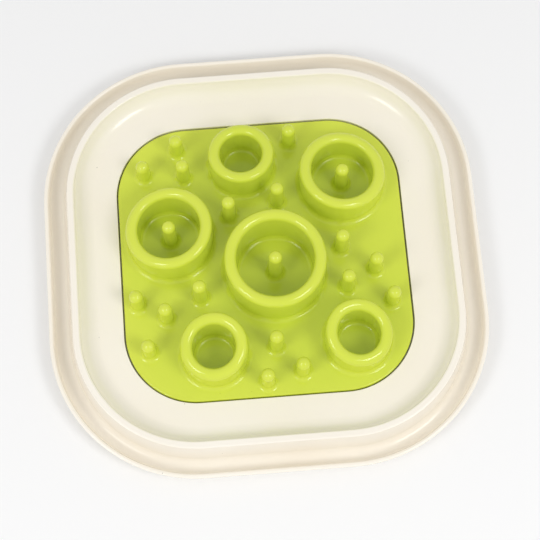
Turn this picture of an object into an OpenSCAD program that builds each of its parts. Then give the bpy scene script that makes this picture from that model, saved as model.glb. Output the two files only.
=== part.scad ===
// Slow feeder bowl: a square tray with a raised ridge and an outer gutter, a lift-out insert
// of cups and pegs, and four rubber feet.
// Millimetres, +Z up, origin on the table under the middle of the tray, +Y away from the viewer.

/* [Insert plate] */
// Width of the insert across its straight sides
insert_width = 196.4; // [190:0.2:206]
// Radius of the insert's corners
insert_corner = 48.7; // [40:0.1:56]
// Depth of the insert below the tray's floor, down to the face it stands on
insert_depth = 7; // [6:0.1:8.5]
// Wall of the insert: plate, skirt and cup bottoms
insert_wall = 2.4; // [1.8:0.1:2.6]
// Rounding of the plate's upper edge
plate_edge_round = 1.2; // [0.6:0.1:1.8]

/* [Dome over the insert] */
// Height above the plate that rims reach in the middle
dome_height = 32; // [28:0.5:36]
// Radius of the dome that rims and peg tips follow
dome_radius = 430; // [390:5:700]

/* [Cups] */
// Outer radius of the large cup's rim
large_cup_radius = 34.6; // [32:0.1:37]
// Outer radius of a medium cup's rim
medium_cup_radius = 29.6; // [27:0.1:31]
// Outer radius of a small cup's rim
small_cup_radius = 22.7; // [20:0.1:24.5]
// Width of the round rim
rim_width = 8.2; // [7.6:0.1:10]
// How far the rim stands out beyond the wall under it, on each side
rim_overhang = 0.7; // [0.6:0.05:0.9]
// How much wider a cup's wall is at its foot than at its rim
wall_draft = 0.3; // [0.2:0.1:0.5]
// Concave radius where a cup rises from the plate
cup_fillet = 4; // [2.5:0.1:4.4]
// Concave radius where a cup's wall meets its floor
floor_fillet = 3; // [2:0.1:4]

/* [Pegs] */
// Radius of a peg's round tip
peg_tip_radius = 4.6; // [4:0.1:4.7]
// Radius of a peg at its foot
peg_foot_radius = 4.9; // [4.8:0.1:5.4]
// How far a peg's tip stands above the dome of the rims
peg_rise = 2; // [0:0.1:3]
// Concave radius where a peg rises from the plate or from a cup's floor
peg_fillet = 3.2; // [2:0.1:3.6]

/* [Tray] */
// Width of the tray across its straight sides
tray_width = 300; // [290:1:340]
// Wall of the tray
tray_wall = 3; // [2.4:0.1:3.6]
// Gap between the insert and the edge of its recess
insert_gap = 1; // [0.6:0.1:1.4]
// Height of the ridge above the floor
ridge_height = 13.6; // [11:0.1:17]
// Width of the ridge's flat top
ridge_width = 4.9; // [4:0.1:6.5]
// Rounding of the ridge's edges
ridge_round = 1.2; // [0.6:0.1:1.8]
// How far the ridge's outer face leans out on its way down
ridge_splay = 2.7; // [1.5:0.1:3.5]
// Width of the gutter between the ridge and the lip
gutter_width = 14.3; // [13:0.1:17]
// Depth of the gutter below the floor
gutter_depth = 10.5; // [9.5:0.1:13]
// How far the gutter's outer wall leans out on its way up
gutter_draft = 0.6; // [0.3:0.1:1.2]
// Width of the rounded outer lip
lip_width = 3; // [2.4:0.1:3.6]
// Height of the lip's crest above the floor
lip_rise = 0.5; // [0:0.1:2]

/* [Feet] */
// Diameter of a rubber foot
foot_diameter = 20; // [16:0.5:22]
// Height of a foot below the tray
foot_height = 2.5; // [2:0.1:4]
// Rounding of a foot's lower edge
foot_round = 0.8; // [0.4:0.1:1.2]
// Diameter of the stem that plugs into the tray
stem_diameter = 8; // [6:0.1:10]
// Length of the stem
stem_length = 6; // [5:0.1:7]
// Clearance round the stem and above it
stem_clearance = 0.05; // [0.02:0.01:0.1]

/* [Hidden] */
FEET = ["foot_front_left", "foot_front_right", "foot_rear_left", "foot_rear_right"];
$fn = 96;

// Degrees between the points of large and of small arcs, and the largest radius of a small arc
large_arc_step = 7.5;
small_arc_step = 15;
small_arc_radius = 5;

// Which way each foot lies from the middle, in the order of FEET
foot_sides = [[-1, -1], [1, -1], [-1, 1], [1, 1]];

// Each cup's place, its radius, and whether it holds a peg. A place is in percent of the way
// from the middle to where the foot's fillet meets the edge of the plate.
cups = [
    [[12, -17.5], large_cup_radius, true],
    [[-99.5, 28.5], medium_cup_radius, true],
    [[91, 80], medium_cup_radius, true],
    [[-15, 97], small_cup_radius, false],
    [[-54.5, -94], small_cup_radius, false],
    [[83.5, -90.5], small_cup_radius, false]
];

// Place of each peg on the plate, in the same way
pegs = [
    [-62, 93], [-89, 74], [-58, 70.5], [26.5, 94], [-24.5, 35.5], [13.5, 44],
    [60.5, 3], [85, -16], [62.5, -29], [96, -42.5],
    [-99.5, -31], [-78, -43.5], [-51, -29], [-92.5, -69.5],
    [4, -72], [-4.5, -99.5], [22.5, -93]
];

// Heights above the table
tray_bottom = foot_height;
gutter_floor = tray_bottom + tray_wall;
floor_height = gutter_floor + gutter_depth;
recess_floor = floor_height - insert_depth;
ridge_top = floor_height + ridge_height;

// Outlines are offsets of one square, so each radius here is measured from a corner's centre
corner_centre = insert_width / 2 - insert_corner;
recess_radius = insert_corner + insert_gap;
lip_radius = tray_width / 2 - corner_centre;
lip_inner = lip_radius - lip_width;
ridge_outer = lip_inner - gutter_width;
ridge_inner = ridge_outer - ridge_width;
bowl_radius = ridge_height - ridge_round;
bowl_start = ridge_inner - bowl_radius;
gutter_radius = (gutter_width - ridge_splay - gutter_draft) / 2;
gutter_centre = lip_inner - gutter_draft - gutter_radius;
gutter_axis = gutter_floor + gutter_radius;
lip_axis = floor_height + lip_rise - lip_width / 2;

// Feet and their bosses
boss_radius = foot_diameter / 2;
boss_top = floor_height - tray_wall / 3;
foot_reach = corner_centre + (recess_radius + tray_wall / 2 + boss_radius) / sqrt(2);
stem_radius = stem_diameter / 2;
socket_top = tray_bottom + stem_length + stem_clearance;

// Heights inside the insert, measured from its plate
insert_bottom = -insert_depth;
cup_floor = insert_bottom + insert_wall;
clear_of_dome = dome_height + rim_width;
wall_top_depth = (rim_width - insert_wall / 2) / 2;
peg_hole = peg_foot_radius + peg_fillet / 2;
cut_overlap = 1;

// Points along an arc or part of an ellipse, from one angle to another
function arc(centre, radius_x, radius_y, from, to) =
    let (
        small = max(radius_x, radius_y) <= small_arc_radius,
        steps = ceil(abs(to - from) / (small ? small_arc_step : large_arc_step))
    )
    [for (i = [0 : steps])
        let (a = from + (to - from) * i / steps)
        [centre.x + radius_x * cos(a), centre.y + radius_y * sin(a)]];

function round_arc(centre, radius, from, to) = arc(centre, radius, radius, from, to);

// The points after the first, for an arc that starts where another ends
function carry_on(points) = [for (i = [1 : len(points) - 1]) points[i]];

// Place on the plate of a cup or peg whose foot, with its fillet, has this radius
function place_on_plate(percent, foot_radius) =
    percent * (insert_width / 2 - foot_radius - plate_edge_round) / 100;

// Height and slope of the dome over a place on the plate
function dome_at(place) = dome_height - (place * place) / (2 * dome_radius);
function dome_tilt(place) = atan(norm(place) / dome_radius);

// Radius of a cup's wall outside at its foot
function cup_foot(radius) = radius - rim_overhang + wall_draft;

function cup_place(item) = place_on_plate(item[0], cup_foot(item[1]) + cup_fillet);
function peg_place(percent) = place_on_plate(percent, peg_foot_radius + peg_fillet);

// Sweeps a profile, given as radius and height, round the rounded square
module sweep_round(profile) {
    for (quarter = [0 : 3]) {
        rotate(90 * quarter) {
            translate([corner_centre, corner_centre, 0]) {
                rotate_extrude(angle = 90) polygon(profile);
                rotate([90, 0, 0]) linear_extrude(2 * corner_centre) polygon(profile);
            }
        }
    }
}

// Square slab inside the corners' centres, which closes what sweep_round leaves open
module middle_slab(bottom, top) {
    translate([-corner_centre, -corner_centre, bottom])
        cube([2 * corner_centre, 2 * corner_centre, top - bottom]);
}

// Half section of the tray from the middle of a corner out to the lip and back underneath
function tray_profile() =
    let (
        bowl_axis = [bowl_start, floor_height + bowl_radius],
        gutter_middle = [gutter_centre, gutter_axis],
        under_bowl = bowl_radius + tray_wall,
        under_gutter = gutter_radius + tray_wall,
        ridge_reach = min(1, (ridge_outer - tray_wall - bowl_start) / under_bowl),
        apex = min(-acos(ridge_reach), -asin((tray_wall - ridge_round) / under_bowl)),
        apex_height = bowl_axis.y + under_bowl * sin(apex),
        splay_height = ridge_top - ridge_round - gutter_axis,
        inside_face = gutter_centre - under_gutter,
        inside_lean = ridge_splay * (apex_height - gutter_axis) / splay_height
    )
    concat(
        [[0, recess_floor], [recess_radius, recess_floor], [recess_radius, floor_height]],
        round_arc(bowl_axis, bowl_radius, -90, 0),
        carry_on(round_arc([ridge_inner + ridge_round, ridge_top - ridge_round], ridge_round, 180, 90)),
        round_arc([ridge_outer - ridge_round, ridge_top - ridge_round], ridge_round, 90, 0),
        round_arc(gutter_middle, gutter_radius, 180, 360),
        round_arc([lip_radius - lip_width / 2, lip_axis], lip_width / 2, 180, 0),
        arc(gutter_middle, gutter_radius + lip_width, under_gutter, 0, -90),
        carry_on(round_arc(gutter_middle, under_gutter, -90, -180)),
        [[inside_face - inside_lean, apex_height]],
        round_arc(bowl_axis, under_bowl, apex, -90),
        [
            [recess_radius + tray_wall, floor_height - tray_wall],
            [recess_radius + tray_wall, recess_floor - tray_wall],
            [0, recess_floor - tray_wall]
        ]
    );

module tray() {
    color([0.96, 0.93, 0.85])
    difference() {
        union() {
            sweep_round(tray_profile());
            middle_slab(recess_floor - tray_wall, recess_floor);
            for (side = foot_sides)
                translate(concat(side * foot_reach, tray_bottom))
                    cylinder(r = boss_radius, h = boss_top - tray_bottom);
        }
        for (side = foot_sides)
            translate(concat(side * foot_reach, tray_bottom - cut_overlap))
                cylinder(r = stem_radius, h = socket_top - tray_bottom + cut_overlap);
    }
}

// Half section of the plate and its skirt
function plate_profile() = concat(
    [[0, 0], [0, -insert_wall], [insert_corner - insert_wall, -insert_wall]],
    [[insert_corner - insert_wall, insert_bottom], [insert_corner, insert_bottom]],
    round_arc([insert_corner - plate_edge_round, -plate_edge_round], plate_edge_round, 0, 90)
);

// Half section of a peg that stands on a floor at height 0 and fills the hole in it
function peg_profile(tip) = concat(
    [[0, -insert_wall], [peg_foot_radius + peg_fillet, -insert_wall]],
    round_arc([peg_foot_radius + peg_fillet, peg_fillet], peg_fillet, 270, 180),
    round_arc([0, tip - peg_tip_radius], peg_tip_radius, 0, 90)
);

module peg(tip) {
    rotate_extrude() polygon(peg_profile(tip));
}

// Half section of a cup's wall and floor, with the wall left taller than its rim
function cup_profile(radius, rim_axis, floor_hole) =
    let (
        outer_foot = cup_foot(radius),
        inner_top = radius - rim_width + rim_overhang,
        inner_foot = inner_top - wall_draft,
        wall_middle = radius - rim_width / 2
    )
    concat(
        [[outer_foot + cup_fillet, -insert_wall]],
        round_arc([outer_foot + cup_fillet, cup_fillet], cup_fillet, 270, 180),
        [[radius - rim_overhang, rim_axis], [radius - rim_overhang, clear_of_dome]],
        [[inner_top, clear_of_dome], [inner_top, rim_axis]],
        round_arc([inner_foot - floor_fillet, cup_floor + floor_fillet], floor_fillet, 0, -90),
        [[floor_hole, cup_floor], [floor_hole, insert_bottom]],
        [[wall_middle, insert_bottom], [wall_middle, -insert_wall]]
    );

// Everything above the plane that touches the dome over a place, moved down by a depth
module above_dome(place, depth) {
    reach = insert_width;
    translate([0, 0, dome_at(place) - depth])
        rotate(dome_tilt(place), [-place.y, place.x, 0])
            translate([-reach / 2, -reach / 2, 0])
                cube([reach, reach, reach]);
}

// Round rim of a cup, tilted to lie along the dome, with a flat underside that the wall runs into
module rim(place, radius) {
    translate([0, 0, dome_at(place) - rim_width / 2])
        rotate(dome_tilt(place), [-place.y, place.x, 0])
            rotate_extrude()
                intersection() {
                    translate([radius - rim_width / 2, 0]) circle(r = rim_width / 2);
                    square([2 * radius, rim_width]);
                }
}

// Cup standing at the origin, with a rim that follows the dome over its place on the plate
module cup(place, radius, with_peg) {
    rim_axis = dome_at(place) - rim_width / 2;
    floor_hole = with_peg ? peg_hole : 0;
    difference() {
        rotate_extrude() polygon(cup_profile(radius, rim_axis, floor_hole));
        above_dome(place, wall_top_depth);
    }
    rim(place, radius);
    if (with_peg) translate([0, 0, cup_floor]) peg(dome_at(place) + peg_rise - cup_floor);
}

module insert_plate() {
    difference() {
        union() {
            sweep_round(plate_profile());
            middle_slab(-insert_wall, 0);
        }
        for (item = cups)
            translate(concat(cup_place(item), -insert_wall - cut_overlap))
                cylinder(r = cup_foot(item[1]) + cup_fillet / 2, h = insert_wall + 2 * cut_overlap);
        for (percent = pegs)
            translate(concat(peg_place(percent), -insert_wall - cut_overlap))
                cylinder(r = peg_hole, h = insert_wall + 2 * cut_overlap);
    }
}

module insert() {
    color([0.74, 0.85, 0.24])
    translate([0, 0, floor_height]) {
        insert_plate();
        for (item = cups)
            translate(cup_place(item)) cup(cup_place(item), item[1], item[2]);
        for (percent = pegs)
            translate(peg_place(percent)) peg(dome_at(peg_place(percent)) + peg_rise);
    }
}

// Half section of a rubber foot and the stem that plugs into the tray
function foot_profile() = concat(
    [[0, 0]],
    round_arc([boss_radius - foot_round, foot_round], foot_round, -90, 0),
    [[boss_radius, foot_height], [stem_radius - stem_clearance, foot_height]],
    [[stem_radius - stem_clearance, foot_height + stem_length], [0, foot_height + stem_length]]
);

module foot(side) {
    color([0.35, 0.35, 0.36])
    translate(side * foot_reach)
        rotate_extrude() polygon(foot_profile());
}

tray();
insert();
for (i = [0 : 3]) foot(foot_sides[i]);
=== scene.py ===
"""Slow feeder bowl: finely rounded surfaces, finishes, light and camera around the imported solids."""

import math

import bmesh
import bpy
from mathutils import Matrix, Vector


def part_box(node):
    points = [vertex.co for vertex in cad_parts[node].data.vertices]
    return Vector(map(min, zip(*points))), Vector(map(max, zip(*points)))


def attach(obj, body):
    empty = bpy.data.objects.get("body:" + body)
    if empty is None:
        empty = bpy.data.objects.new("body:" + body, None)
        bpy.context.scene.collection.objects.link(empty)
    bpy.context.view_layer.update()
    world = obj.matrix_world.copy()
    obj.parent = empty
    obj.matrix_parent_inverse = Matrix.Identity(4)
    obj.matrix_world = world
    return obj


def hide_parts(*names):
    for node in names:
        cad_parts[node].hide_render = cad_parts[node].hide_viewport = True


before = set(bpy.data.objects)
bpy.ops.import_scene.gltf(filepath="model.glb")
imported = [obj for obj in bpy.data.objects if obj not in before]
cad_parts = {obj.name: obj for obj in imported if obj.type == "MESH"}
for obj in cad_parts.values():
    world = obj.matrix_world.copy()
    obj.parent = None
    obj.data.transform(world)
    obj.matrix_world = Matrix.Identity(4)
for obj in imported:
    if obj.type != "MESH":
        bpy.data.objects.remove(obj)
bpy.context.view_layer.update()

MM = 0.001

# Sizes taken from the solids
tray_low, tray_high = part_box("tray")
insert_low, insert_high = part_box("insert")
FEET = ("foot_front_left", "foot_front_right", "foot_rear_left", "foot_rear_right")
TRAY_HALF = tray_high.x
TRAY_BOTTOM = tray_low.z
RIDGE_TOP = tray_high.z
INSERT_HALF = insert_high.x
RECESS_FLOOR = insert_low.z

# Insert plate
INSERT_CORNER = 48.7 * MM
INSERT_DEPTH = 7 * MM
INSERT_WALL = 2.4 * MM
PLATE_EDGE_ROUND = 1.2 * MM

# Dome that rims and peg tips follow, a hair below the solid's so that the skin stays inside it
DOME_HEIGHT = 31.98 * MM
DOME_RADIUS = 430 * MM

# Cups
LARGE_CUP = 34.6 * MM
MEDIUM_CUP = 29.6 * MM
SMALL_CUP = 22.7 * MM
RIM_WIDTH = 8.2 * MM
WALL_DRAFT = 0.2 * MM
FLOOR_FILLET = 3 * MM
CUP_FILLET = 3.4 * MM

# Pegs
PEG_TIP_RADIUS = 4.6 * MM
PEG_FOOT_RADIUS = 4.9 * MM
PEG_RISE = 2 * MM
PEG_FILLET = 3.2 * MM

# Tray
TRAY_WALL = 3 * MM
INSERT_GAP = 1 * MM
RIDGE_HEIGHT = 13.6 * MM
RIDGE_WIDTH = 4.9 * MM
RIDGE_ROUND = 1.2 * MM
RIDGE_SPLAY = 2.7 * MM
GUTTER_WIDTH = 14.3 * MM
GUTTER_DEPTH = 10.5 * MM
GUTTER_ROUND = 5.4 * MM
GUTTER_DRAFT = 0.6 * MM
DRAFT_HEIGHT = 4 * MM
LIP_WIDTH = 3 * MM
LIP_RISE = 0.5 * MM
LIP_ROUND = 1.45 * MM
LIP_BAND = 2 * MM
CREST_ROUND = 0.4 * MM
UNDER_TRIM = 0.1 * MM

# Feet
FOOT_ROUND = 0.8 * MM
STEM_RADIUS = 4 * MM
DISH_DEPTH = 0.35 * MM
DISH_ROUND = 1 * MM

# Dished part of a foot's underside, as shares of the foot's radius: its flat and its edge
DISH_FLAT = 0.6
DISH_EDGE = 0.7

# Heights and outlines that follow
FLOOR = RECESS_FLOOR + INSERT_DEPTH
CORNER = INSERT_HALF - INSERT_CORNER
RECESS_RADIUS = INSERT_CORNER + INSERT_GAP
LIP_RADIUS = TRAY_HALF - CORNER
LIP_INNER = LIP_RADIUS - LIP_WIDTH
RIDGE_OUTER = LIP_INNER - GUTTER_WIDTH
RIDGE_INNER = RIDGE_OUTER - RIDGE_WIDTH
BOWL_RADIUS = RIDGE_HEIGHT - RIDGE_ROUND
GUTTER_FLOOR = FLOOR - GUTTER_DEPTH
CUP_FLOOR = INSERT_WALL - INSERT_DEPTH
BOSS_TOP = FLOOR - TRAY_WALL / 3

# Fineness of the meshes
CORNER_STEPS = 36
CUP_STEPS = 112
PEG_STEPS = 40
ARC_STEP = math.radians(7.5)
MERGE = 0.0005 * MM
SHARP = math.radians(40)

# Specks in the plastic: cells per metre, reach as a share of a cell, and brightness beside the plastic's own
SPECK_CELLS = 80
SPECK_REACH = 0.03
SPECK_SHADE = 0.3

# Fine detail of the plastics, in grains per metre
CLOUD_GRAINS = 14
GLOSS_GRAINS = 220
SKIN_GRAINS = 600
SCUFF_GRAINS = (30, 700, 250)

# Direction of the scuffs, and noise values between which a scuff sets in
SCUFF_TURN = (0, 0, 0.5)
SCUFF_START = 0.64
SCUFF_FULL = 0.74

# How far that detail shows
GLOSS_SPREAD = 0.03
SCUFF_DULLNESS = 0.02
SKIN_STRENGTH = 0.02
GRAIN_DEPTH = 0.1 * MM
PLASTIC_IOR = 1.49

# Rubber
RUBBER_GRAINS = 1400
RUBBER_SHADE = 0.8
RUBBER_STRENGTH = 0.3
RUBBER_ROUGHNESS = 0.75

# Range that most noise values lie in
NOISE_LOW = 0.3
NOISE_HIGH = 0.7

# Light: strength of the surroundings, and each lamp's direction and power
SIDE_LIGHT = 0.88
OVERHEAD_LIGHT = 0.6
LAMPS = {"lamp_left": ((-0.54, -0.41, 0.74), 4.7), "lamp_right": ((0.46, -0.41, 0.79), 5.7)}
LAMP_DISTANCE = 1.6
LAMP_SIZE = 0.5
FLOOR_COLOUR = (0.93, 0.93, 0.93, 1)
FLOOR_ROUGHNESS = 0.6
FLOOR_SIZE = 4

# Camera
SENSOR = 36
LENS = 106.57
CAMERA_SPOT = Vector((-22.3, -334.0, 1051.94)) * MM
CAMERA_TARGET = Vector((3.44, -9.70, 0)) * MM

# Places in percent of the way from the middle to where a foot's fillet meets the plate's edge
CUPS = (
    ((12, -17.5), LARGE_CUP, True),
    ((-99.5, 28.5), MEDIUM_CUP, True),
    ((91, 80), MEDIUM_CUP, True),
    ((-15, 97), SMALL_CUP, False),
    ((-54.5, -94), SMALL_CUP, False),
    ((83.5, -90.5), SMALL_CUP, False),
)
PEGS = (
    (-62, 93), (-89, 74), (-58, 70.5), (26.5, 94), (-24.5, 35.5), (13.5, 44),
    (60.5, 3), (85, -16), (62.5, -29), (96, -42.5),
    (-99.5, -31), (-78, -43.5), (-51, -29), (-92.5, -69.5),
    (4, -72), (-4.5, -99.5), (22.5, -93),
)


def place(percent, foot_radius):
    """Place on the plate of a cup or peg whose foot, with its fillet, has this radius."""
    travel = INSERT_HALF - foot_radius - PLATE_EDGE_ROUND
    return Vector((percent[0], percent[1])) * travel / 100


def dome(spot):
    """Height of the dome above the plate over a spot."""
    return DOME_HEIGHT - spot.length_squared / (2 * DOME_RADIUS)


def arc(centre, radius, start, end):
    """Points along an arc, given as radius and height, between two angles in degrees."""
    first, last = math.radians(start), math.radians(end)
    steps = max(2, math.ceil(abs(last - first) / ARC_STEP))
    angles = [first + (last - first) * i / steps for i in range(steps + 1)]
    return [(centre[0] + radius * math.cos(a), centre[1] + radius * math.sin(a)) for a in angles]


def round_corner(before, corner, after, radius):
    """Points of the arc that rounds a corner of an outline."""
    here = Vector(corner)
    back = (Vector(before) - here).normalized()
    ahead = (Vector(after) - here).normalized()
    half_angle = back.angle(ahead) / 2
    middle = here + (back + ahead).normalized() * (radius / math.sin(half_angle))
    first = here + back * (radius / math.tan(half_angle)) - middle
    last = here + ahead * (radius / math.tan(half_angle)) - middle
    turn = first.angle_signed(last)
    steps = max(2, math.ceil(abs(turn) / ARC_STEP))
    points = []
    for i in range(steps + 1):
        spoke = first.copy()
        spoke.rotate(Matrix.Rotation(-turn * i / steps, 2))
        points.append(tuple(middle + spoke))
    return points


def rounded(corners):
    """Outline through corners given as radius, height and rounding."""
    points = []
    for i, (r, z, rounding) in enumerate(corners):
        if rounding == 0:
            points.append((r, z))
            continue
        before, after = corners[i - 1][:2], corners[i + 1][:2]
        points.extend(round_corner(before, (r, z), after, rounding))
    return points


def ring_path():
    """Corner centres and directions all round the rounded square, as the lines that an outline follows."""
    path = []
    for quarter in range(4):
        centre = Vector((CORNER, CORNER))
        centre.rotate(Matrix.Rotation(math.pi / 2 * quarter, 2))
        for i in range(CORNER_STEPS + 1):
            angle = math.pi / 2 * (quarter + i / CORNER_STEPS)
            path.append((centre, Vector((math.cos(angle), math.sin(angle)))))
    return path


def skin(bm, rings):
    """Faces between rings of vertices. A ring of one vertex is a pole."""
    for a, b in zip(rings, rings[1:]):
        count = max(len(a), len(b))
        for i in range(count):
            j = (i + 1) % count
            corners = [a[i % len(a)], a[j % len(a)], b[j % len(b)], b[i % len(b)]]
            face = list(dict.fromkeys(corners))
            if len(face) > 2:
                bm.faces.new(face)


def sweep(bm, outline, lift):
    """Skin of an outline swept round the rounded square. Returns the first and last ring."""
    path = ring_path()
    rings = []
    for r, z in outline:
        ring = []
        for centre, direction in path:
            spot = centre + direction * r
            ring.append(bm.verts.new((spot.x, spot.y, z + lift)))
        rings.append(ring)
    skin(bm, rings)
    return rings[0], rings[-1]


def revolve(bm, outline, spot, lift, steps, slope=None):
    """Skin of an outline turned about a spot. Points marked as following the dome tilt with its slope."""
    rings = []
    for r, z, *follows in outline:
        if r < MERGE:
            rings.append([bm.verts.new((spot.x, spot.y, z + lift))])
            continue
        ring = []
        for i in range(steps):
            angle = 2 * math.pi * i / steps
            offset = Vector((math.cos(angle), math.sin(angle))) * r
            tilt = slope.dot(offset) if follows and follows[0] and slope else 0
            ring.append(bm.verts.new((spot.x + offset.x, spot.y + offset.y, z + lift + tilt)))
        rings.append(ring)
    skin(bm, rings)
    return rings[0], rings[-1]


def fill_between(bm, loops):
    """Flat faces between an outer loop of vertices and the loops of its holes."""
    edges = []
    for loop in loops:
        for a, b in zip(loop, loop[1:] + loop[:1]):
            edges.append(bm.edges.get((a, b)) or bm.edges.new((a, b)))
    bmesh.ops.triangle_fill(bm, use_beauty=True, use_dissolve=False, edges=edges)


def finish_mesh(bm, name):
    """Object made from a bmesh, with seams closed and faces outwards."""
    bmesh.ops.remove_doubles(bm, verts=bm.verts, dist=MERGE)
    bmesh.ops.recalc_face_normals(bm, faces=bm.faces)
    mesh = bpy.data.meshes.new(name)
    bm.to_mesh(mesh)
    bm.free()
    piece = bpy.data.objects.new(name, mesh)
    bpy.context.scene.collection.objects.link(piece)
    return piece


def settle(piece):
    """Replaces a piece's mesh by what its modifiers make of it."""
    graph = bpy.context.evaluated_depsgraph_get()
    piece.data = bpy.data.meshes.new_from_object(piece.evaluated_get(graph))
    piece.modifiers.clear()


def clean(piece):
    """Splits faces of many sides into well-shaped triangles and drops those without area."""
    bm = bmesh.new()
    bm.from_mesh(piece.data)
    bmesh.ops.remove_doubles(bm, verts=bm.verts, dist=MERGE)
    many_sided = [face for face in bm.faces if len(face.verts) > 4]
    bmesh.ops.triangulate(bm, faces=many_sided, ngon_method="BEAUTY")
    bmesh.ops.dissolve_degenerate(bm, edges=bm.edges, dist=MERGE)
    bm.to_mesh(piece.data)
    bm.free()


def smooth(piece):
    """Smooth shading that keeps flats flat and edges over a sharp angle crisp."""
    piece.data.shade_smooth()
    piece.data.set_sharp_from_angle(angle=SHARP)
    weighted = piece.modifiers.new("weighted", "WEIGHTED_NORMAL")
    weighted.keep_sharp = True
    settle(piece)
    return piece


def tray_outline():
    """Half section of the tray, from the recess over ridge, gutter and lip and back underneath."""
    start = RECESS_RADIUS / 2
    lean = RIDGE_SPLAY / (RIDGE_TOP - RIDGE_ROUND - GUTTER_FLOOR - GUTTER_ROUND)
    flare = GUTTER_DRAFT / DRAFT_HEIGHT
    gutter_rise = RIDGE_TOP - GUTTER_FLOOR
    ridge_crest = RIDGE_OUTER - lean * RIDGE_ROUND
    gutter_left = ridge_crest + lean * gutter_rise
    lip_crest = FLOOR + LIP_RISE
    lip_face = LIP_INNER + flare * LIP_ROUND
    gutter_right = lip_face - flare * (lip_crest - GUTTER_FLOOR)
    belly_top = lip_crest - LIP_BAND
    belly = LIP_RADIUS - flare * (belly_top - TRAY_BOTTOM)
    under_round = GUTTER_ROUND + TRAY_WALL - UNDER_TRIM
    under_left = gutter_left + lean * TRAY_WALL - TRAY_WALL
    bowl_axis = (RIDGE_INNER - BOWL_RADIUS, FLOOR + BOWL_RADIUS)
    under_bowl = BOWL_RADIUS + TRAY_WALL
    apex = -math.degrees(math.acos((RIDGE_OUTER - TRAY_WALL - bowl_axis[0]) / under_bowl))
    bowl_back = arc(bowl_axis, under_bowl, apex, -90)
    apex_face = under_left - lean * (bowl_back[0][1] - TRAY_BOTTOM)
    return rounded(
        [
            (start, RECESS_FLOOR, 0),
            (RECESS_RADIUS, RECESS_FLOOR, CREST_ROUND),
            (RECESS_RADIUS, FLOOR, CREST_ROUND),
            (RIDGE_INNER, FLOOR, BOWL_RADIUS),
            (RIDGE_INNER, RIDGE_TOP, RIDGE_ROUND),
            (ridge_crest, RIDGE_TOP, RIDGE_ROUND),
            (gutter_left, GUTTER_FLOOR, GUTTER_ROUND),
            (gutter_right, GUTTER_FLOOR, GUTTER_ROUND),
            (lip_face, lip_crest, LIP_ROUND),
            (LIP_RADIUS, lip_crest, LIP_ROUND),
            (LIP_RADIUS, belly_top, CREST_ROUND),
            (belly, TRAY_BOTTOM, under_round),
            (under_left, TRAY_BOTTOM, under_round),
            (apex_face, bowl_back[0][1], 0),
        ]
        + [(r, z, 0) for r, z in bowl_back]
        + [
            (RECESS_RADIUS + TRAY_WALL, FLOOR - TRAY_WALL, CREST_ROUND),
            (RECESS_RADIUS + TRAY_WALL, RECESS_FLOOR - TRAY_WALL, CREST_ROUND),
            (start, RECESS_FLOOR - TRAY_WALL, 0),
        ]
    )


def make_tray():
    """Tray shell with its four foot bosses."""
    bm = bmesh.new()
    first, last = sweep(bm, tray_outline(), 0)
    bm.faces.new(first)
    bm.faces.new(last)
    tray = finish_mesh(bm, "tray_shell")
    bosses = make_bosses()
    union = tray.modifiers.new("bosses", "BOOLEAN")
    union.operation = "UNION"
    union.solver = "EXACT"
    union.object = bosses
    settle(tray)
    bpy.data.objects.remove(bosses)
    clean(tray)
    return smooth(tray)


def make_bosses():
    """The four round bosses under the tray that the feet plug into."""
    bm = bmesh.new()
    for node in FEET:
        low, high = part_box(node)
        spot = Vector(((low.x + high.x) / 2, (low.y + high.y) / 2))
        radius = (high.x - low.x) / 2
        outline = rounded(
            [
                (0, TRAY_BOTTOM, 0),
                (radius, TRAY_BOTTOM, CREST_ROUND),
                (radius, BOSS_TOP, 0),
                (0, BOSS_TOP, 0),
            ]
        )
        revolve(bm, outline, spot, 0, PEG_STEPS)
    return finish_mesh(bm, "bosses")


def plate_edge_outline():
    """Half section of the insert's rim: rounded plate edge, skirt and the underside inside it."""
    inside = INSERT_CORNER - INSERT_WALL
    return rounded(
        [
            (INSERT_CORNER - 2 * PLATE_EDGE_ROUND, 0, 0),
            (INSERT_CORNER, 0, PLATE_EDGE_ROUND),
            (INSERT_CORNER, -INSERT_DEPTH, CREST_ROUND),
            (inside, -INSERT_DEPTH, CREST_ROUND),
            (inside, -INSERT_WALL, CREST_ROUND),
            (inside - PLATE_EDGE_ROUND, -INSERT_WALL, 0),
        ]
    )[1:]


def peg_outline(floor, tip):
    """Half section of a peg from the floor it stands on up to its tip."""
    foot = PEG_FOOT_RADIUS + PEG_FILLET
    points = arc((foot, floor + PEG_FILLET), PEG_FILLET, 270, 180)
    points += arc((0, tip - PEG_TIP_RADIUS), PEG_TIP_RADIUS, 0, 90)
    return points


def cup_outline(radius, crest, with_peg):
    """Half section of a cup from the plate, over its rim, to the middle of its floor."""
    rim = RIM_WIDTH / 2
    foot = radius + WALL_DRAFT
    bottom = radius - RIM_WIDTH - WALL_DRAFT - FLOOR_FILLET
    outside = [(r, z, False) for r, z in arc((foot + CUP_FILLET, CUP_FILLET), CUP_FILLET, 270, 180)]
    crown = [(r, z, True) for r, z in arc((radius - rim, crest - rim), rim, 0, 180)]
    floor = [(r, z, False) for r, z in arc((bottom, CUP_FLOOR + FLOOR_FILLET), FLOOR_FILLET, 0, -90)]
    if with_peg:
        middle = [(r, z, False) for r, z in peg_outline(CUP_FLOOR, crest + PEG_RISE)]
    else:
        middle = [(0, CUP_FLOOR, False)]
    return outside + crown + floor + middle


def cup_underside(radius):
    """Half section of a cup's bottom, which reaches below the plate to the middle of the wall."""
    reach = radius - RIM_WIDTH / 2
    return rounded(
        [
            (reach + CREST_ROUND, -INSERT_WALL, 0),
            (reach, -INSERT_WALL, CREST_ROUND / 2),
            (reach, -INSERT_DEPTH, CREST_ROUND),
            (0, -INSERT_DEPTH, 0),
        ]
    )


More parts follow.
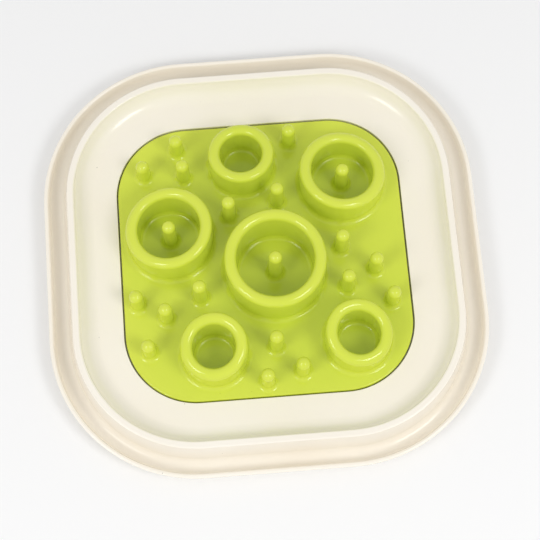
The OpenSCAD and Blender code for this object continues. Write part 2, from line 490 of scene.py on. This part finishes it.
def make_insert():
    """Insert with its cups and pegs, and with a skirt and cup bottoms under its plate."""
    bm = bmesh.new()
    first, last = sweep(bm, plate_edge_outline(), FLOOR)
    upper, lower = [first], [last]
    for percent, radius, with_peg in CUPS:
        spot = place(percent, radius + WALL_DRAFT + CUP_FILLET)
        slope = -spot / DOME_RADIUS
        crest = dome(spot)
        upper.append(revolve(bm, cup_outline(radius, crest, with_peg), spot, FLOOR, CUP_STEPS, slope)[0])
        lower.append(revolve(bm, cup_underside(radius), spot, FLOOR, CUP_STEPS)[0])
    for percent in PEGS:
        spot = place(percent, PEG_FOOT_RADIUS + PEG_FILLET)
        upper.append(revolve(bm, peg_outline(0, dome(spot) + PEG_RISE), spot, FLOOR, PEG_STEPS)[0])
    fill_between(bm, upper)
    fill_between(bm, lower)
    return smooth(finish_mesh(bm, "insert_shell"))


def make_foot(node):
    """Rubber foot with a rounded edge, a shallow dished underside and a stem."""
    low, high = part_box(node)
    spot = Vector(((low.x + high.x) / 2, (low.y + high.y) / 2))
    radius = (high.x - low.x) / 2
    bm = bmesh.new()
    outline = rounded(
        [
            (0, low.z + DISH_DEPTH, 0),
            (radius * DISH_FLAT, low.z + DISH_DEPTH, DISH_ROUND),
            (radius * DISH_EDGE, low.z, DISH_ROUND),
            (radius, low.z, FOOT_ROUND),
            (radius, TRAY_BOTTOM, CREST_ROUND),
            (STEM_RADIUS, TRAY_BOTTOM, 0),
            (STEM_RADIUS, high.z, FOOT_ROUND),
            (0, high.z, 0),
        ]
    )
    revolve(bm, outline, spot, 0, PEG_STEPS)
    return smooth(finish_mesh(bm, node + "_pad"))


def srgb(red, green, blue):
    """Linear colour from the 0 to 255 values of a screen colour."""

    def channel(value):
        share = value / 255
        return share / 12.92 if share <= 0.04045 else ((share + 0.055) / 1.055) ** 2.4

    return (channel(red), channel(green), channel(blue), 1)


def new_material(name):
    """Empty node material. Returns it with its node tree and its shader."""
    material = bpy.data.materials.new(name)
    material.use_nodes = True
    tree = material.node_tree
    return material, tree, tree.nodes["Principled BSDF"]


def add_node(tree, kind, links=(), **values):
    """Node with its inputs or properties set and its inputs linked to other sockets."""
    node = tree.nodes.new(kind)
    for key, value in values.items():
        setattr(node, key, value)
    for socket, source in links:
        if hasattr(source, "node"):
            tree.links.new(source, node.inputs[socket])
        else:
            node.inputs[socket].default_value = source
    return node


def noise(tree, coordinates, scale, detail=2):
    """Noise at a number of grains per metre."""
    return add_node(
        tree, "ShaderNodeTexNoise", [("Vector", coordinates), ("Scale", scale), ("Detail", detail)]
    ).outputs["Fac"]


def spread(tree, value, low, high):
    """A noise value spread over a range."""
    return add_node(
        tree,
        "ShaderNodeMapRange",
        [
            ("Value", value),
            ("From Min", NOISE_LOW),
            ("From Max", NOISE_HIGH),
            ("To Min", low),
            ("To Max", high),
        ],
    ).outputs["Result"]


def mix(tree, factor, first, second):
    """Colour between two others."""
    return add_node(
        tree, "ShaderNodeMix", [("Factor", factor), ("A", first), ("B", second)], data_type="RGBA"
    ).outputs["Result"]


def specks(tree, coordinates, share):
    """Mask of a few dark specks that lie in the plastic."""
    distance = add_node(
        tree, "ShaderNodeTexVoronoi", [("Vector", coordinates), ("Scale", SPECK_CELLS)]
    ).outputs["Distance"]
    inside = add_node(
        tree,
        "ShaderNodeMapRange",
        [
            ("Value", distance),
            ("From Min", 0.6 * SPECK_REACH),
            ("From Max", SPECK_REACH),
            ("To Min", share),
            ("To Max", 0),
        ],
    )
    return inside.outputs["Result"]


def scuffs(tree, coordinates):
    """Mask of faint hairline scuffs: noise drawn out along one direction, kept only near its crests."""
    drawn_out = add_node(
        tree,
        "ShaderNodeMapping",
        [("Vector", coordinates), ("Rotation", SCUFF_TURN), ("Scale", SCUFF_GRAINS)],
    ).outputs["Vector"]
    crests = noise(tree, drawn_out, 1)
    return add_node(
        tree,
        "ShaderNodeMapRange",
        [("Value", crests), ("From Min", SCUFF_START), ("From Max", SCUFF_FULL)],
    ).outputs["Result"]


def moulded_plastic(name, pale, deep, roughness, speck_share):
    """Glossy moulded plastic: faint clouds of colour, sparse specks, uneven gloss and a fine skin."""
    material, tree, shader = new_material(name)
    coordinates = add_node(tree, "ShaderNodeTexCoord").outputs["Object"]
    clouds = spread(tree, noise(tree, coordinates, CLOUD_GRAINS, detail=4), 0, 1)
    tint = mix(tree, clouds, pale, deep)
    dark = tuple(value * SPECK_SHADE for value in deep[:3]) + (1,)
    tree.links.new(mix(tree, specks(tree, coordinates, speck_share), tint, dark), shader.inputs["Base Color"])
    patches = noise(tree, coordinates, GLOSS_GRAINS, detail=3)
    gloss = spread(tree, patches, roughness - GLOSS_SPREAD, roughness + GLOSS_SPREAD)
    scuffed = add_node(
        tree,
        "ShaderNodeMath",
        [(0, scuffs(tree, coordinates)), (1, SCUFF_DULLNESS), (2, gloss)],
        operation="MULTIPLY_ADD",
    ).outputs["Value"]
    tree.links.new(scuffed, shader.inputs["Roughness"])
    grain = noise(tree, coordinates, SKIN_GRAINS)
    bump = add_node(
        tree, "ShaderNodeBump", [("Height", grain), ("Strength", SKIN_STRENGTH), ("Distance", GRAIN_DEPTH)]
    )
    tree.links.new(bump.outputs["Normal"], shader.inputs["Normal"])
    shader.inputs["IOR"].default_value = PLASTIC_IOR
    return material


def rubber(name, colour):
    """Dull rubber with a fine grain."""
    material, tree, shader = new_material(name)
    coordinates = add_node(tree, "ShaderNodeTexCoord").outputs["Object"]
    grain = noise(tree, coordinates, RUBBER_GRAINS, detail=3)
    darker = tuple(value * RUBBER_SHADE for value in colour[:3]) + (1,)
    tree.links.new(mix(tree, spread(tree, grain, 0, 1), colour, darker), shader.inputs["Base Color"])
    bump = add_node(
        tree, "ShaderNodeBump", [("Height", grain), ("Strength", RUBBER_STRENGTH), ("Distance", GRAIN_DEPTH)]
    )
    tree.links.new(bump.outputs["Normal"], shader.inputs["Normal"])
    shader.inputs["Roughness"].default_value = RUBBER_ROUGHNESS
    return material


def dress(piece, body, slot, material, *nodes):
    """Gives a piece its finish and lets it stand for CAD nodes on a body."""
    piece.data.materials.append(material)
    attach(piece, body)
    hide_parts(*nodes)


def make_floor():
    """Plain pale floor."""
    bm = bmesh.new()
    bmesh.ops.create_grid(bm, x_segments=1, y_segments=1, size=FLOOR_SIZE)
    mesh = bpy.data.meshes.new("studio_floor")
    bm.to_mesh(mesh)
    bm.free()
    floor = bpy.data.objects.new("studio_floor", mesh)
    bpy.context.scene.collection.objects.link(floor)
    material, tree, shader = new_material("pale_floor")
    shader.inputs["Base Color"].default_value = FLOOR_COLOUR
    shader.inputs["Roughness"].default_value = FLOOR_ROUGHNESS
    mesh.materials.append(material)


def aim(thing, target):
    """Turns a lamp or camera to look at a point."""
    thing.rotation_euler = (Vector(target) - thing.location).to_track_quat("-Z", "Y").to_euler()


def add_lamp(name, direction, power):
    """Soft square lamp that looks at the middle of the bowl."""
    data = bpy.data.lights.new(name, "AREA")
    data.shape = "SQUARE"
    data.size = LAMP_SIZE
    data.energy = power
    lamp = bpy.data.objects.new(name, data)
    lamp.location = Vector(direction).normalized() * LAMP_DISTANCE
    aim(lamp, (0, 0, FLOOR))
    bpy.context.scene.collection.objects.link(lamp)


def light_studio():
    """Surroundings that are brighter at the sides than overhead, and a soft lamp to the left and right."""
    world = bpy.data.worlds.new("studio")
    world.use_nodes = True
    tree = world.node_tree
    direction = add_node(tree, "ShaderNodeTexCoord").outputs["Generated"]
    height = add_node(tree, "ShaderNodeSeparateXYZ", [("Vector", direction)]).outputs["Z"]
    strength = add_node(
        tree, "ShaderNodeMapRange", [("Value", height), ("To Min", SIDE_LIGHT), ("To Max", OVERHEAD_LIGHT)]
    ).outputs["Result"]
    background = tree.nodes["Background"]
    background.inputs["Color"].default_value = (1, 1, 1, 1)
    tree.links.new(strength, background.inputs["Strength"])
    bpy.context.scene.world = world
    for name, (lamp_direction, power) in LAMPS.items():
        add_lamp(name, lamp_direction, power)


def add_camera():
    """Camera at the photograph's viewing angle."""
    data = bpy.data.cameras.new("camera")
    data.sensor_width = SENSOR
    data.lens = LENS
    camera = bpy.data.objects.new("camera", data)
    lift = Vector((0, 0, FLOOR))
    camera.location = CAMERA_SPOT + lift
    aim(camera, CAMERA_TARGET + lift)
    bpy.context.scene.collection.objects.link(camera)
    bpy.context.scene.camera = camera


cream = moulded_plastic(
    "cream_plastic", pale=srgb(250, 244, 232), deep=srgb(248, 241, 227), roughness=0.18, speck_share=0.8
)
lime = moulded_plastic(
    "lime_plastic", pale=srgb(217, 228, 78), deep=srgb(211, 224, 72), roughness=0.12, speck_share=0.3
)
grey_rubber = rubber("grey_rubber", srgb(90, 90, 92))

dress(make_tray(), "base", "tray", cream, "tray")
dress(make_insert(), "insert", "insert", lime, "insert")
for foot_node in FEET:
    dress(make_foot(foot_node), "base", "feet", grey_rubber, foot_node)

make_floor()
light_studio()
add_camera()
bpy.context.scene.view_settings.view_transform = "Standard"
